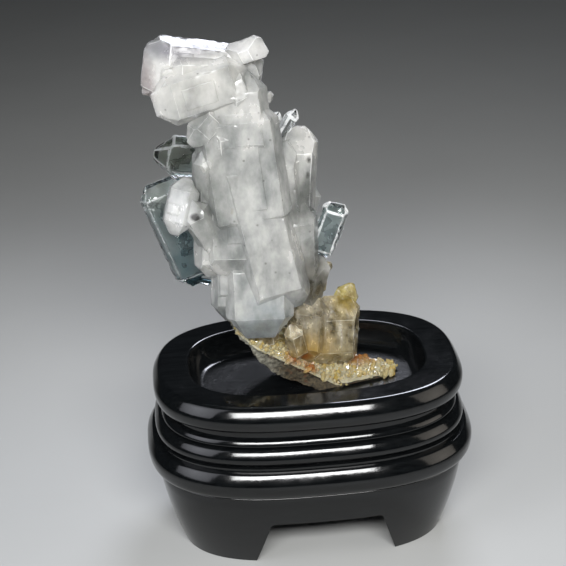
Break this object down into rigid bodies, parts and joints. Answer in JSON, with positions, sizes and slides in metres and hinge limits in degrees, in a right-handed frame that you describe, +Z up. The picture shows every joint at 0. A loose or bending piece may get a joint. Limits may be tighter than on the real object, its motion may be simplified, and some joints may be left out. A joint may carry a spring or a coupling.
{
  "type": "faden quartz cluster",
  "caption": "Leaning cluster of flattened milky and clear quartz crystals on a shard of host rock, set in an oval black lacquered display stand.",
  "frame": {"origin": "on the ground, under the centre of the stand", "axes": "+Z up, -Y towards the front of the stand, +X to the viewer's right"},
  "size_m": [0.101, 0.0724, 0.1586],
  "materials": {
    "lacquered_wood": "black, high gloss",
    "host_rock": "rough, broken",
    "quartz": "milky to clear, vitreous"
  },
  "bodies": {
    "root": {"stand": "lacquered_wood", "matrix_rock": "host_rock", "quartz_cluster": "quartz"}
  },
  "joints": []
}
